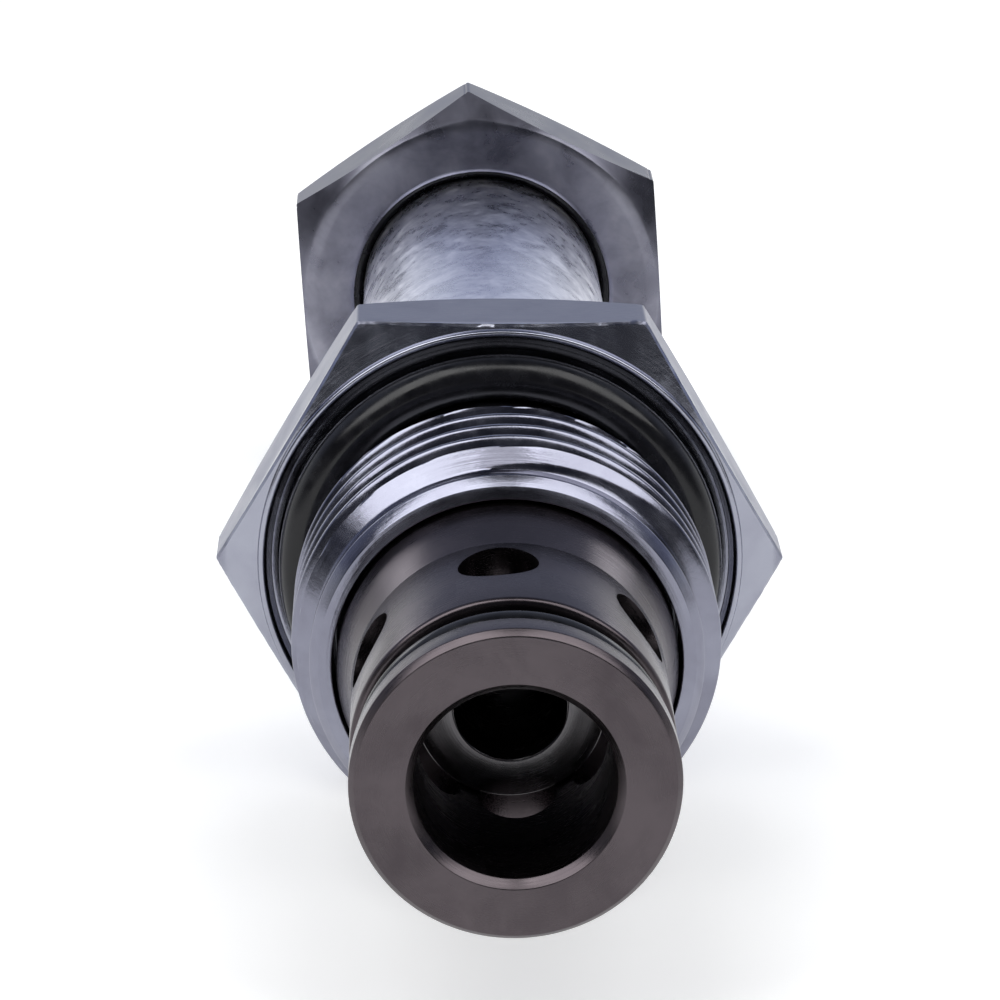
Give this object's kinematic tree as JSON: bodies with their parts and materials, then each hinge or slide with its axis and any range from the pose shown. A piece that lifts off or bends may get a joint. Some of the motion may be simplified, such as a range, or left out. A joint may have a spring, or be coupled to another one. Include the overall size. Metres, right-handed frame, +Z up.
{
  "type": "cartridge valve",
  "caption": "Screw-in solenoid cartridge valve without its coil: ported nose sleeve, threaded hexagon body, bare armature tube and coil nut, with a sprung hollow spool inside.",
  "frame": {"origin": "on the valve's axis, halfway between the nose face and the end of the plug, which is the centre of its box", "axes": "+Y along the axis from the nose to the coil nut, +Z up, square to a flat of the body's hexagon"},
  "size_m": [0.0312, 0.0916, 0.0276],
  "materials": {
    "turned_steel": "fine turned, satin",
    "zinc_plate": "bright zinc plate",
    "nut_plate": "dull zinc plate",
    "tube_steel": "bright, mottled plate",
    "magnet_steel": "ground",
    "spring_steel": "drawn wire",
    "rubber": "smooth moulded, oiled",
    "bearing_plastic": "matt",
    "brass": "turned"
  },
  "bodies": {
    "valve": {"cage": "turned_steel", "nose_o_ring": "rubber", "cage_lock_ring": "spring_steel", "valve_body": "zinc_plate", "body_o_ring": "rubber", "spool_spring": "spring_steel", "pole_piece": "magnet_steel", "guide_tube": "tube_steel", "end_plug": "tube_steel", "override_clip": "spring_steel", "tube_base_o_ring": "rubber"},
    "spool": {"spool": "magnet_steel", "spring_washer": "magnet_steel", "spool_clip": "spring_steel"},
    "armature": {"armature": "magnet_steel", "push_rod": "tube_steel", "armature_shim": "brass", "armature_band": "bearing_plastic"},
    "override": {"override_pin": "brass", "override_o_ring": "rubber"},
    "nut_seal": {"coil_nut_o_ring": "rubber"},
    "coil_nut": {"coil_nut": "nut_plate"}
  },
  "joints": [
    {"name": "armature_slide", "type": "slide", "parent": "valve", "child": "armature", "axis": [0, -1, 0], "range_m": [0, 0.003], "stiffness_N_per_m": 800, "springref_m": -0.0015},
    {"name": "spool_slide", "type": "slide", "parent": "valve", "child": "spool", "axis": [0, -1, 0], "range_m": [0, 0.003], "deforming": ["spool_spring"]},
    {"name": "override_press", "type": "slide", "parent": "valve", "child": "override", "axis": [0, -1, 0], "range_m": [0, 0.0032], "stiffness_N_per_m": 300, "springref_m": -0.001},
    {"name": "nut_travel", "type": "slide", "parent": "valve", "child": "nut_seal", "axis": [0, 1, 0], "range_m": [0, 0.0047]},
    {"name": "nut_turn", "type": "hinge", "parent": "nut_seal", "child": "coil_nut", "pos_m": [0, 0.04175, 0], "axis": [0, 1, 0], "range_deg": [0, 1160]}
  ],
  "couplings": [
    {"joint": "spool_slide", "follows": "armature_slide", "ratio": 1},
    {"joint": "nut_travel", "follows": "nut_turn", "m_per_rad": 0.00022457}
  ]
}
